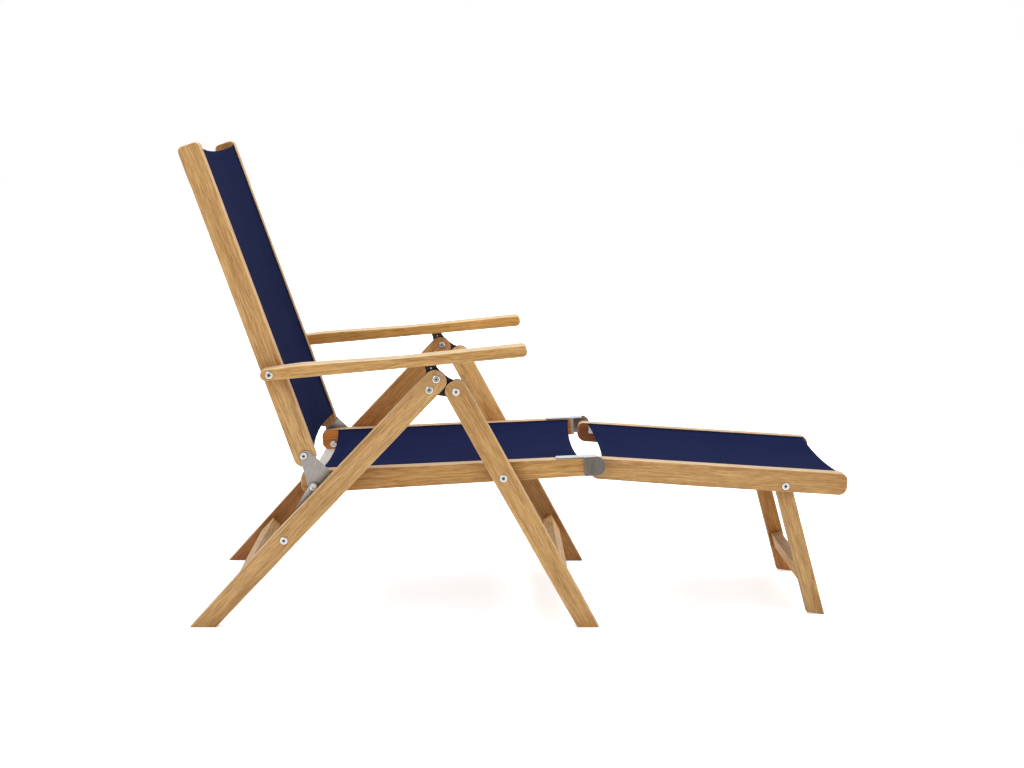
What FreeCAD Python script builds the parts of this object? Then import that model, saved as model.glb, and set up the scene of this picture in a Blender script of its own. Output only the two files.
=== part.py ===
import FreeCAD, Part
import math
import os
import Sketcher

# Folding deck chair in teak with three fabric slings and a fold-out footrest.
# Frame: X runs from the back of the chair to the foot end, Y from the right-hand side of the
# sitter (-Y) to the left-hand side (+Y), Z up from the floor. Origin: on the floor, on the centre
# plane, under the middle of the overall length.
#
# Every flat member is drawn in its own side-view frame: U along the member from its main pivot,
# V across it, thickness along Y. A Placement then turns it about Y and puts the pivot in place.
# In the names below, _u and _v are places in such a frame, _in and _out are the distances of the
# inner and outer face from the centre plane, and _round is a radius.

doc = FreeCAD.newDocument("folding_deck_chair")

# ---------------------------------------------------------------- driving dimensions
DIMS = {
    # pivots, side view: x and z of each axis
    "hip_x": -143.5, "hip_z": 533.5,             # rear legs to front legs
    "seatpin_x": -38.9, "seatpin_z": 340.9,      # front legs to seat rails
    "linktop_x": -458.5, "linktop_z": 313.4,     # seat rails to link bars
    "linkfoot_x": -522.8, "linkfoot_z": 199.3,   # link bars to rear legs
    "backpin_x": -479.8, "backpin_z": 383.3,     # hinge plates to back stiles
    "armpin_x": -547.5, "armpin_z": 570.8,       # back stiles to armrests
    "footpin_x": 166.4, "footpin_z": 359.5,      # seat to footrest
    "legpin_x": 597.3, "legpin_z": 311.2,        # footrest to its legs
    # leans of the members above the +X direction, degrees
    "rear_leg_lean": 46.9, "front_leg_lean": -61.16, "seat_lean": 3.75, "link_lean": 60.59,
    "back_lean": 109.53, "arm_lean": 5.56, "footrest_lean": -3.5, "foot_leg_lean": -74.1,
    # layers across the chair
    "leg_in": 263.5, "leg_out": 287.5, "rail_in": 229.0, "rail_out": 254.0,
    "slide_gap": 0.3, "arm_in": 254.5, "arm_out": 299.5,
    "footrail_in": 203.5, "footrail_out": 228.5, "footleg_in": 169.5, "footleg_out": 191.5,
    "plate_thick": 2.5, "link_in": 257.0, "link_thick": 3.0,
    # wooden edges, and a cut length that passes through any member
    "edge_round": 2.0, "edge_small": 1.5, "through_cut": 200.0,
    # arm brackets, their slots in the legs and their stop pins
    "bracket_thick": 4.0, "bracket_mid": 275.5, "bracket_slot": 4.4,
    "rear_slot_u": 447.0, "front_slot_u": 40.0, "slot_over": 15.0,
    "stop_pin_x": -54.5, "stop_pin_z": 50.5, "stop_pin_round": 2.0, "stop_hole_round": 2.05,
    "stop_pin_out": 0.8,
    # rear legs
    "rear_leg_top": 512.0, "rear_leg_upper": 25.3, "rear_leg_lower": 24.4,
    "rear_leg_foot_upper": 290.359, "rear_leg_foot_upper_v": 18.6,
    "rear_leg_foot_lower": 250.588, "rear_leg_foot_lower_v": 23.9, "rear_leg_top_round": 21.5,
    # front legs
    "front_leg_top": 24.0, "front_leg_upper": 26.3, "front_leg_lower": 23.6,
    "front_leg_foot_lower": 598.806, "front_leg_foot_lower_v": 18.6,
    "front_leg_foot_upper": 622.264, "front_leg_foot_upper_v": 24.0, "front_leg_top_round": 22.5,
    "front_leg_pin_u": 219.2, "front_leg_pin_v": 1.3,
    # stretchers
    "stretcher_deep": 45.0, "stretcher_thick": 25.0,
    "rear_stretcher_u": 148.7, "rear_stretcher_v": 1.5,
    "front_stretcher_u": 496.2, "front_stretcher_v": 1.0,
    "foot_stretcher_u": 236.5, "foot_stretcher_v": 0.5,
    "foot_stretcher_deep": 40.0, "foot_stretcher_thick": 24.0,
    # seat rails
    "seat_rail_rear": 27.6, "seat_rail_front": 604.0, "seat_rail_rear_top": 37.8,
    "seat_rail_front_top": 27.2, "seat_rail_rear_low": 13.6, "seat_rail_front_low": 13.6,
    "seat_rail_round": 18.0, "seat_front_low_round": 6.0, "seat_front_top_round": 3.0,
    "seat_pin_u": 420.5,
    # hinge plates
    "hinge_pin_u": 16.7, "hinge_pin_v": 71.1, "hinge_lobe": 11.5, "hinge_fix_u": 47.5,
    "hinge_fix_v": 5.5,
    # link bars
    "link_long": 131.0, "link_wide": 22.0, "link_hole_extra": 0.2,
    # footrest brackets
    "cap_rear": 601.5, "cap_front": 648.5, "cap_low": 13.6, "cap_round": 19.0,
    "cap_strap": 540.0, "cheek_front": 607.5, "strap_front": 630.0,
    "strap_gap": 0.12, "strap_slope": 0.018,
    "cheek_sunk": 2.0, "cheek_face_gap": 0.05, "cheek_end_gap": 0.1, "cheek_over": 5.0,
    # back stiles
    "stile_top": 720.0, "stile_rear": 24.0, "stile_front": 25.6, "stile_end": 25.0,
    "stile_top_round": 12.0, "stile_end_round": 22.0, "stile_arm_u": 199.3, "stile_arm_v": 1.1,
    # armrests
    "arm_tail": 20.0, "arm_nose": 560.7, "arm_low": 12.2, "arm_tail_top": 12.4,
    "arm_hump_u": 69.0, "arm_hump_v": 15.6, "arm_waist_u": 285.0, "arm_waist_v": 10.8,
    "arm_front_v": 13.9, "arm_nose_round": 11.0, "arm_tail_round": 11.5,
    "rack_start": 322.0, "rack_end": 478.0, "rack_deep": 11.5, "rack_in": 272.4,
    "rack_wide": 6.2, "rack_over": 2.0, "notch_first": 353.0, "notch_step": 24.0,
    "notch_round": 4.2, "notch_drop": 0.3,
    # footrest rails
    "footrail_rear": 10.0, "footrail_front": 572.5, "footrail_top": 16.0,
    "footrail_low_rear": 32.2, "footrail_low": 35.0, "footrail_bend_u": 240.0,
    "footrail_front_round": 18.0, "footrail_rear_top_round": 12.0,
    "footrail_rear_low_round": 21.0, "footrail_pin_u": 433.0, "footrail_pin_v": 21.9,
    # footrest legs
    "footleg_head": 18.5, "footleg_rear": 18.3, "footleg_front": 19.3,
    "footleg_rear_u": 313.0, "footleg_front_u": 329.077, "footleg_round": 17.5,
    # crossbars under and behind the slings
    "crossbar_wide": 40.0, "crossbar_thick": 20.0,
    "seat_bar_rear_u": 62.0, "seat_bar_front_u": 552.0, "seat_bar_v": 2.2,
    "foot_bar_rear_u": 62.0, "foot_bar_front_u": 532.0, "foot_bar_v": 18.5,
    "back_bar_low_u": 60.0, "back_bar_top_u": 672.0, "back_bar_v": 9.0,
    # slings and the cords that hold their hems in the rail grooves
    "sling_thick": 2.0, "sling_sag": 9.0, "sling_half": 230.2, "foot_sling_half": 204.7,
    "scoop_deep": 8.0, "back_scoop_low": 6.5, "foot_scoop_rear": 9.5, "foot_scoop_front": 0.5,
    "seat_sling_rear": 15.0, "seat_sling_front": 594.0, "seat_sling_v": 33.0,
    "seat_sling_tilt": 1.01, "seat_groove_drop": 10.15,
    "back_sling_low": 1.0, "back_sling_top": 706.0, "back_sling_v": 20.5,
    "foot_sling_rear": 16.0, "foot_sling_front": 559.5, "foot_sling_v": 11.0,
    "groove_wide": 5.4, "groove_deep": 6.4, "groove_over": 2.0,
    "cord_round": 2.2, "cord_in": 3.6, "cord_short": 2.0,
    # bolts and their nuts
    "bolt_round": 4.0, "hole_round": 4.05, "head_round": 8.3, "head_thick": 2.6,
    "head_crown": 0.9, "head_face": 6.6, "socket_round": 3.6, "socket_deep": 2.2,
    "link_head_thick": 2.9, "link_head_crown": 1.3, "back_head_thick": 3.0,
    "back_head_crown": 1.4, "cap_nut_thick": 3.4, "flat_nut_thick": 2.4,
    "link_nut_thick": 3.2, "back_nut_thick": 4.4,
    # screws
    "screw_round": 2.5, "screw_hole": 2.55, "screw_head": 5.6, "screw_head_thick": 0.4,
    "screw_head_crown": 0.2, "screw_face": 3.6, "screw_socket": 1.6, "screw_short": 3.0,
    # spacers, footrest hinge pins and leaves
    "seat_spacer_round": 11.0, "link_spacer_round": 10.5, "foot_sleeve_round": 7.0,
    "footleg_spacer_round": 9.0, "pin_deep": 18.0, "pin_end_gap": 0.5, "leaf_thick": 2.0,
}
NOTCHES = 5         # cross notches in the rack of an armrest
SLING_STEPS = 12    # straight pieces in the section of a sling

# fixing screws of an arm bracket: (u, v) in the frame of the rear leg
BRACKET_SCREWS = ((494.0, 1.8), (466.3, -3.2))

# outline of an arm bracket: (x, z) from the hip pivot
BRACKET_OUTLINE = (
    (-69, 56), (-64.7, 40.7), (-85.1, 9.5), (-54.4, -19.2), (-41.3, -9.4), (-23.6, -11.8),
    (-6, -17), (12, -17), (17, 2), (12, 17), (-14, 28.5), (-32.6, 41.2), (-43.3, 54.9),
    (-44.5, 66), (-66, 64),
)
# its rounded corners in the order they are cut: (x, z, radius)
BRACKET_CORNERS = (
    (12, -17, 9.0), (17, 2, 14.0), (12, 17, 9.0), (-6, -17, 8.0), (-44.5, 66, 3.0),
    (-66, 64, 3.0),
)
# outline of a footrest hinge leaf: (u, v, corner radius if rounded), frame of the footrest
LEAF_OUTLINE = (
    (17.0, -10.5, 2.0), (40.0, -10.5, 3.0), (40.0, 6.0, 3.0), (24.0, 8.4), (17.0, 8.4, 2.0),
)

sheet = doc.addObject("Spreadsheet::Sheet", "Dims")
for row, (alias, value) in enumerate(DIMS.items(), start=1):
    sheet.set("A%d" % row, alias)
    sheet.set("B%d" % row, repr(value))
    sheet.setAlias("B%d" % row, alias)
doc.recompute()


class Size:
    """A number that also remembers the spreadsheet expression it comes from."""

    def __init__(self, text, number):
        self.text = text
        self.number = number

    @staticmethod
    def of(other):
        return other if isinstance(other, Size) else Size("%.6g" % other, float(other))

    def __add__(self, other):
        other = Size.of(other)
        return Size("(%s + %s)" % (self.text, other.text), self.number + other.number)

    def __sub__(self, other):
        other = Size.of(other)
        return Size("(%s - %s)" % (self.text, other.text), self.number - other.number)

    def __mul__(self, other):
        other = Size.of(other)
        return Size("(%s * %s)" % (self.text, other.text), self.number * other.number)

    def __truediv__(self, other):
        other = Size.of(other)
        return Size("(%s / %s)" % (self.text, other.text), self.number / other.number)

    def __neg__(self):
        return Size("(0 - %s)" % self.text, -self.number)


class Dims:
    """Gives each alias of the spreadsheet as a Size."""

    def __getattr__(self, alias):
        return Size("Dims." + alias, DIMS[alias])


dim = Dims()
Vector = FreeCAD.Vector
Rotation = FreeCAD.Rotation
PARTS = []


# ---------------------------------------------------------------- frames and layers
# A frame is (pivot, lean): pivot is the (x, z) of its origin, lean the angle of U above +X.
# A layer is (middle, thick): where a member lies across the chair.

def place(frame, y=0.0):
    """Placement of a member frame at y across the chair."""
    (x, z), lean = frame
    return FreeCAD.Placement(
        Vector(x.number, Size.of(y).number, z.number), Rotation(Vector(0, 1, 0), -lean.number)
    )


def at(frame, u, v):
    """Side-view position (x, z) of the point (u, v) of a member frame, as plain numbers."""
    (x, z), lean = frame
    angle = math.radians(lean.number)
    u, v = Size.of(u).number, Size.of(v).number
    return (
        Size.of(x.number + u * math.cos(angle) - v * math.sin(angle)),
        Size.of(z.number + u * math.sin(angle) + v * math.cos(angle)),
    )


def between(inner, outer):
    return ((outer + inner) / 2, outer - inner)


# ---------------------------------------------------------------- sketches
def new_body(label):
    body = doc.addObject("PartDesign::Body", "B_" + label)
    body.Label = label
    PARTS.append(body)
    return body


def plane(body, role):
    for feature in body.Origin.OriginFeatures:
        if feature.Role == role:
            return feature
    raise RuntimeError("no plane " + role)


def new_sketch(body, name, role="XZ_Plane", offset=None):
    """A sketch on an origin plane. The XZ plane faces -Y, so its offset counts towards -Y."""
    sketch = body.newObject("Sketcher::SketchObject", name)
    sketch.AttachmentSupport = [(plane(body, role), "")]
    sketch.MapMode = "FlatFace"
    if offset is not None:
        sketch.AttachmentOffset = FreeCAD.Placement(Vector(0, 0, offset.number), Rotation())
        sketch.setExpression("AttachmentOffset.Base.z", offset.text)
    return sketch


def pin_point(sketch, geo, end, x, y):
    """Fixes a sketch point at (x, y) from the sketch origin, bound to the spreadsheet."""
    for kind, size in (("DistanceX", x), ("DistanceY", y)):
        index = sketch.addConstraint(
            Sketcher.Constraint(kind, -1, 1, geo, end, size.number)
        )
        sketch.setExpression("Constraints[%d]" % index, size.text)


def polygon(sketch, points):
    """Closed outline through the points; a third entry of a point, its radius, is left out."""
    points = [(Size.of(point[0]), Size.of(point[1])) for point in points]
    count = len(points)
    first = sketch.GeometryCount
    for i in range(count):
        start, end = points[i], points[(i + 1) % count]
        sketch.addGeometry(
            Part.LineSegment(
                Vector(start[0].number, start[1].number, 0),
                Vector(end[0].number, end[1].number, 0),
            ),
            False,
        )
    for i in range(count):
        sketch.addConstraint(
            Sketcher.Constraint("Coincident", first + i, 2, first + (i + 1) % count, 1)
        )
    for i in range(count):
        pin_point(sketch, first + i, 1, *points[i])


def box(u0, v0, u1, v1, *radii):
    """Corners of a rectangle, from (u0, v0) along U first, with their radii if given."""
    points = [(u0, v0), (u1, v0), (u1, v1), (u0, v1)]
    if radii:
        return [point + (radius,) for point, radius in zip(points, radii)]
    return points


def circle(sketch, x, y, radius):
    x, y, radius = Size.of(x), Size.of(y), Size.of(radius)
    geo = sketch.addGeometry(
        Part.Circle(Vector(x.number, y.number, 0), Vector(0, 0, 1), radius.number), False
    )
    pin_point(sketch, geo, 3, x, y)
    index = sketch.addConstraint(Sketcher.Constraint("Radius", geo, radius.number))
    sketch.setExpression("Constraints[%d]" % index, radius.text)


# ---------------------------------------------------------------- features of a body
def set_extent(feature, sketch, length, both, reverse):
    feature.Profile = sketch
    if length is None:
        feature.Type = 1    # through all
    else:
        feature.Type = 0
        feature.Length = length.number
        feature.setExpression("Length", length.text)
    if both:
        feature.SideType = "Symmetric"
    feature.Reversed = reverse
    doc.recompute()


def pad(body, sketch, name, length, both=True, reverse=False):
    feature = body.newObject("PartDesign::Pad", name)
    set_extent(feature, sketch, length, both, reverse)
    return feature


def pocket(body, sketch, name, length=None, both=True, reverse=False):
    """Cuts a sketch out of the body and makes sure that something was cut."""
    before = body.Shape.Volume
    feature = body.newObject("PartDesign::Pocket", name)
    set_extent(feature, sketch, length, both, reverse)
    if not body.Shape.Volume < before - 1e-3:
        raise RuntimeError("%s of %s cuts nothing" % (name, body.Label))


def sink(body, sketch, name, face, depth):
    """Pocket from the broad face at local Y = face into the member."""
    # the sketch plane faces -Y, so an unreversed pocket runs towards +Y
    pocket(body, sketch, name, depth, both=False, reverse=(face.number > 0))


def round_corners(body, feature, name, corners):
    """Rounds the edges that run across the member at the given (u, v, radius) corners."""
    tip = feature
    for number, corner in enumerate(corners):
        u, v, radius = [Size.of(entry) for entry in corner]
        names = []
        for i, edge in enumerate(tip.Shape.Edges, start=1):
            ends = [vertex.Point for vertex in edge.Vertexes]
            if len(ends) == 2 and all(
                abs(p.x - u.number) < 0.05 and abs(p.z - v.number) < 0.05 for p in ends
            ):
                names.append("Edge%d" % i)
        if not names:
            raise RuntimeError("no corner of %s at %s %s" % (body.Label, u.number, v.number))
        fillet = body.newObject("PartDesign::Fillet", "%s_%d" % (name, number))
        fillet.Base = (tip, names)
        fillet.Radius = radius.number
        fillet.setExpression("Radius", radius.text)
        doc.recompute()
        tip = fillet
    return tip


def soften(body, feature, name, radius):
    """Eases every edge of the two broad faces."""
    names = []
    for i, face in enumerate(feature.Shape.Faces, start=1):
        flat = face.Surface.TypeId == "Part::GeomPlane"
        if flat and abs(face.normalAt(0.5, 0.5).y) > 0.999:
            names.append("Face%d" % i)
    fillet = body.newObject("PartDesign::Fillet", name)
    fillet.Base = (feature, names)
    fillet.Radius = radius.number
    fillet.setExpression("Radius", radius.text)
    doc.recompute()


def holes(body, name, spots):
    """Holes right through at the given (u, v, radius) spots."""
    sketch = new_sketch(body, name + "_sketch")
    for spot in spots:
        circle(sketch, *spot)
    pocket(body, sketch, name)


# ---------------------------------------------------------------- kinds of piece
def slab(label, frame, layer, side, outline, spots=(), ease=None, corners=None,
         rounding="corner"):
    """A flat member or plate in one layer of the chair.

    Outline points are (u, v) or (u, v, radius). Corners are rounded in outline order unless
    corners gives its own list."""
    middle, thick = layer
    if corners is None:
        corners = [point for point in outline if len(point) == 3]
    body = new_body(label)
    sketch = new_sketch(body, label + "_outline")
    polygon(sketch, outline)
    tip = pad(body, sketch, label + "_pad", thick)
    tip = round_corners(body, tip, "%s_%s" % (label, rounding), corners)
    if ease is not None:
        soften(body, tip, label + "_ease", ease)
    if spots:
        holes(body, label + "_holes", spots)
    body.Placement = place(frame, middle * side)
    return body


def crossbar(label, frame, u, v, half, wide=dim.crossbar_wide, thick=dim.crossbar_thick):
    """A bar of length 2 * half that spans the chair, its section centred on (u, v)."""
    body = new_body(label)
    sketch = new_sketch(body, label + "_section")
    section = box(u - wide / 2, v - thick / 2, u + wide / 2, v + thick / 2,
                  *[dim.edge_round] * 4)
    polygon(sketch, section)
    tip = pad(body, sketch, label + "_pad", half * 2)
    round_corners(body, tip, label + "_edge", section)
    body.Placement = place(frame)


def plate_slot(body, start, end, layer, side):
    """Slot through the end of a leg, across its thickness, for the bracket plate."""
    name = body.Label + "_slot"
    middle = (dim.bracket_mid - layer[0]) * side
    half = dim.bracket_slot / 2
    sketch = new_sketch(body, name + "_sketch", "XY_Plane")
    polygon(sketch, box(start, middle - half, end, middle + half))
    pocket(body, sketch, name, dim.through_cut)


def groove(body, layer, side, u0, v0, u1, v1):
    """Cord groove in the inner face, for a hem that runs from (u0, v0) to (u1, v1)."""
    name = body.Label + "_groove"
    u0, u1 = u0 - dim.groove_over, u1 + dim.groove_over
    face = layer[1] / 2 * (-side)
    half = dim.groove_wide / 2
    sketch = new_sketch(body, name + "_sketch", offset=-face)
    polygon(sketch, [(u0, v0 - half), (u1, v1 - half), (u1, v1 + half), (u0, v0 + half)])
    sink(body, sketch, name, face, dim.groove_deep)


def primitive(kind, name, **sizes):
    item = doc.addObject(kind, name)
    for key, size in sizes.items():
        setattr(item, key, size.number)
        item.setExpression(key, size.text)
    return item


def hexagon(name, circumradius, height):
    item = primitive("Part::Prism", name, Circumradius=circumradius, Height=height)
    item.Polygon = 6
    return item


def along_y(item, pivot, y, facing):
    """Moves the base of a primitive to y on a pivot, its own +Z axis along facing (+1, -1) Y."""
    x, z = pivot
    rotation = Rotation(Vector(1, 0, 0), -90 if facing > 0 else 90)
    item.Placement = FreeCAD.Placement(Vector(x.number, y.number, z.number), rotation)


def cut(name, base, tool):
    item = doc.addObject("Part::Cut", name)
    item.Base = base
    item.Tool = tool
    return item


def bolt(name, pivot, tip_y, face_y, side, nut=None, radius=dim.bolt_round,
         head=dim.head_round, thick=dim.head_thick, crown=dim.head_crown,
         face=dim.head_face, socket=dim.socket_round):
    """One socket-head bolt across the chair, its shank from tip_y out to its head on face_y.

    nut is the (radius, thickness) of a nut beyond the tip."""
    shank = primitive("Part::Cylinder", name + "_shank", Radius=radius, Height=face_y - tip_y)
    along_y(shank, pivot, tip_y * side, side)
    rim = primitive("Part::Cylinder", name + "_rim", Radius=head, Height=thick - crown)
    along_y(rim, pivot, face_y * side, side)
    dome = primitive("Part::Cone", name + "_dome", Radius1=head, Radius2=face, Height=crown)
    along_y(dome, pivot, (face_y + (thick - crown)) * side, side)
    pieces = [shank, rim, dome]
    if nut is not None:
        across, tall = nut
        cap = primitive("Part::Cylinder", name + "_nut", Radius=across, Height=tall * 0.7)
        along_y(cap, pivot, tip_y * side, -side)
        end = primitive("Part::Cone", name + "_nutcap", Radius1=across, Radius2=across * 0.8,
                        Height=tall * 0.3)
        along_y(end, pivot, (tip_y - tall * 0.7) * side, -side)
        pieces += [cap, end]
    body = doc.addObject("Part::MultiFuse", name + "_body")
    body.Shapes = pieces
    if nut is not None:
        recess = hexagon(name + "_nutsocket", across * 0.45, tall * 1.7)
        along_y(recess, pivot, (tip_y - tall * 0.3) * side, -side)
        body = cut(name + "_nutcut", body, recess)
    key = hexagon(name + "_socket", socket, dim.socket_deep * 2)
    along_y(key, pivot, (face_y + (thick - dim.socket_deep)) * side, side)
    return cut(name + "_bolt", body, key)


def ring(name, pivot, y0, y1, side, outer):
    """A washer or spacer sleeve between two layers, with a bolt hole."""
    disc = primitive("Part::Cylinder", name + "_disc", Radius=outer, Height=y1 - y0)
    along_y(disc, pivot, y0 * side, side)
    # the bore runs 1 mm past each end
    bore = primitive("Part::Cylinder", name + "_bore", Radius=dim.hole_round,
                     Height=y1 - y0 + 2)
    along_y(bore, pivot, (y0 - 1) * side, side)
    return cut(name + "_ring", disc, bore)


def group(label, items):
    """Identical pieces that share one node, each a solid of its own."""
    item = doc.addObject("Part::Compound", "G_" + label)
    item.Label = label
    item.Links = items
    PARTS.append(item)


SIDES = (("left", 1), ("right", -1))


def bolt_pair(stem, pivot, tip_y, face_y, **style):
    group(stem + "s", [bolt("%s_%s" % (stem, name), pivot, tip_y, face_y, side, **style)
                       for name, side in SIDES])


def ring_pair(label, stem, pivot, y0, y1, outer):
    group(label, [ring("%s_%s" % (stem, name), pivot, y0, y1, side, outer)
                  for name, side in SIDES])


# ---------------------------------------------------------------- pivots, frames, layers, nuts
HIP = (dim.hip_x, dim.hip_z)
SEATPIN = (dim.seatpin_x, dim.seatpin_z)
LINKTOP = (dim.linktop_x, dim.linktop_z)
LINKFOOT = (dim.linkfoot_x, dim.linkfoot_z)
BACKPIN = (dim.backpin_x, dim.backpin_z)
ARMPIN = (dim.armpin_x, dim.armpin_z)
FOOTPIN = (dim.footpin_x, dim.footpin_z)
LEGPIN = (dim.legpin_x, dim.legpin_z)

REAR = (LINKFOOT, dim.rear_leg_lean)
FRONT = (HIP, dim.front_leg_lean)
BRACKET = (HIP, Size.of(0))
SEAT = (LINKTOP, dim.seat_lean)
LINK = (LINKTOP, dim.link_lean)
BACK = (BACKPIN, dim.back_lean)
ARM = (ARMPIN, dim.arm_lean)
FOOT = (FOOTPIN, dim.footrest_lean)
FOOTLEG = (LEGPIN, dim.foot_leg_lean)

FRONT_LEG_IN = dim.leg_in + dim.slide_gap
LINK_OUT = dim.link_in + dim.link_thick
PLATE_OUT = dim.rail_out + dim.plate_thick

REAR_LEG_LAYER = between(dim.leg_in, dim.leg_out)
FRONT_LEG_LAYER = between(FRONT_LEG_IN, dim.leg_out)
RAIL_LAYER = between(dim.rail_in, dim.rail_out)
STILE_LAYER = between(dim.rail_in, dim.rail_out - dim.slide_gap)
ARM_LAYER = between(dim.arm_in, dim.arm_out)
FOOTRAIL_LAYER = between(dim.footrail_in, dim.footrail_out)
FOOTLEG_LAYER = between(dim.footleg_in, dim.footleg_out)

WIDE_NUT = dim.head_round * 0.95
NARROW_NUT = dim.head_round * 0.8
FLAT_NUT = (WIDE_NUT, dim.flat_nut_thick)
CAP_NUT = (NARROW_NUT, dim.cap_nut_thick)

# ---------------------------------------------------------------- rear legs and their stretcher
for name, side in SIDES:
    body = slab(
        "rear_leg_" + name, REAR, REAR_LEG_LAYER, side,
        [(-dim.rear_leg_foot_upper, dim.rear_leg_foot_upper_v),
         (-dim.rear_leg_foot_lower, -dim.rear_leg_foot_lower_v),
         (dim.rear_leg_top, -dim.rear_leg_lower, dim.rear_leg_top_round),
         (dim.rear_leg_top, dim.rear_leg_upper, dim.rear_leg_top_round),
         (0, dim.rear_leg_upper)],
        [(0, 0, dim.hole_round)] + [(u, v, dim.screw_hole) for u, v in BRACKET_SCREWS],
        dim.edge_round,
    )
    plate_slot(body, dim.rear_slot_u, dim.rear_leg_top + dim.slot_over, REAR_LEG_LAYER, side)
crossbar("rear_leg_stretcher", REAR, -dim.rear_stretcher_u, -dim.rear_stretcher_v, dim.leg_in,
         dim.stretcher_deep, dim.stretcher_thick)

# ---------------------------------------------------------------- front legs and their stretcher
for name, side in SIDES:
    body = slab(
        "front_leg_" + name, FRONT, FRONT_LEG_LAYER, side,
        [(-dim.front_leg_top, -dim.front_leg_lower, dim.front_leg_top_round),
         (dim.front_leg_pin_u * 0.9, -dim.front_leg_lower),
         (dim.front_leg_foot_lower, -dim.front_leg_foot_lower_v),
         (dim.front_leg_foot_upper, dim.front_leg_foot_upper_v),
         (dim.front_leg_pin_u, dim.front_leg_upper),
         (-dim.front_leg_top, dim.front_leg_upper, dim.front_leg_top_round)],
        [(0, 0, dim.hole_round), (dim.front_leg_pin_u, -dim.front_leg_pin_v, dim.hole_round)],
        dim.edge_round,
    )
    plate_slot(body, -dim.front_leg_top - dim.slot_over, dim.front_slot_u, FRONT_LEG_LAYER,
               side)
crossbar("front_leg_stretcher", FRONT, dim.front_stretcher_u, -dim.front_stretcher_v,
         FRONT_LEG_IN, dim.stretcher_deep, dim.stretcher_thick)

# ---------------------------------------------------------------- arm brackets
# a steel plate let into slots in the ends of the legs: the front leg hangs from its lobe and its
# upper tab runs up into the rack of the armrest
SCREW_PLACES = [at(REAR, u, v) for u, v in BRACKET_SCREWS]
spots = [(0, 0, dim.hole_round), (dim.stop_pin_x, dim.stop_pin_z, dim.stop_hole_round)]
spots += [(x - HIP[0], z - HIP[1], dim.screw_hole) for x, z in SCREW_PLACES]
for name, side in SIDES:
    slab("arm_bracket_" + name, BRACKET, (dim.bracket_mid, dim.bracket_thick), side,
         BRACKET_OUTLINE, spots, corners=BRACKET_CORNERS, rounding="lobe")

group("bracket_screws", [
    bolt("bracket_screw_%s_%d" % (name, k), screw_place, dim.leg_in, dim.leg_out, side,
         nut=FLAT_NUT, radius=dim.screw_round)
    for name, side in SIDES for k, screw_place in enumerate(SCREW_PLACES)
])

# stop pins through the upper tabs, standing out on both faces
stop_pivot = (HIP[0] + dim.stop_pin_x, HIP[1] + dim.stop_pin_z)
items = []
for name, side in SIDES:
    pin = primitive("Part::Cylinder", "arm_stop_pin_" + name, Radius=dim.stop_pin_round,
                    Height=dim.bracket_thick + dim.stop_pin_out * 2)
    along_y(pin, stop_pivot,
            (dim.bracket_mid - dim.bracket_thick / 2 - dim.stop_pin_out) * side, side)
    items.append(pin)
group("arm_stop_pins", items)

# ---------------------------------------------------------------- bolts of the legs
bolt_pair("front_leg_pivot_bolt", HIP, FRONT_LEG_IN, dim.leg_out, nut=FLAT_NUT)
bolt_pair("seat_pivot_bolt", SEATPIN, dim.rail_in, dim.leg_out, nut=CAP_NUT)
ring_pair("seat_pivot_spacers", "seat_pivot_spacer", SEATPIN, dim.rail_out + dim.slide_gap,
          FRONT_LEG_IN, dim.seat_spacer_round)
bolt_pair("link_foot_bolt", LINKFOOT, LINK_OUT + dim.slide_gap, dim.leg_out)
ring_pair("link_foot_spacers", "link_foot_spacer", LINKFOOT, LINK_OUT + dim.slide_gap,
          dim.leg_in, dim.link_spacer_round)

# ---------------------------------------------------------------- seat
rear_low = (-dim.seat_rail_rear, -dim.seat_rail_rear_low, dim.seat_rail_round)
rear_top = (-dim.seat_rail_rear, dim.seat_rail_rear_top, dim.seat_rail_round)
front_low = (dim.seat_rail_front, -dim.seat_rail_front_low, dim.seat_front_low_round)
front_top = (dim.seat_rail_front, dim.seat_rail_front_top, dim.seat_front_top_round)
for name, side in SIDES:
    label = "seat_rail_" + name
    body = slab(
        label, SEAT, RAIL_LAYER, side, [rear_low, front_low, front_top, rear_top],
        [(0, 0, dim.hole_round), (dim.seat_pin_u, 0, dim.hole_round),
         (dim.hinge_fix_u, dim.hinge_fix_v, dim.screw_hole)],
        dim.edge_small, corners=[rear_low, rear_top, front_low, front_top],
    )
    groove(body, RAIL_LAYER, side, dim.seat_sling_rear, dim.seat_sling_v,
           dim.seat_sling_front, dim.seat_sling_v - dim.seat_groove_drop)
    # pocket for the sunk inner cheek of the footrest bracket
    inner_face = RAIL_LAYER[1] / 2 * (-side)
    sketch = new_sketch(body, label + "_cheek_sketch", offset=-inner_face)
    polygon(sketch, box(dim.cap_rear - dim.cheek_end_gap, -dim.cap_low - dim.cheek_over,
                        dim.seat_rail_front + dim.cheek_over,
                        dim.seat_rail_front_top + dim.cheek_over))
    sink(body, sketch, label + "_cheek", inner_face, dim.cheek_sunk + dim.cheek_face_gap)

crossbar("seat_rear_crossbar", SEAT, dim.seat_bar_rear_u, -dim.seat_bar_v, dim.rail_in)
crossbar("seat_front_crossbar", SEAT, dim.seat_bar_front_u, -dim.seat_bar_v, dim.rail_in)

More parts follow.
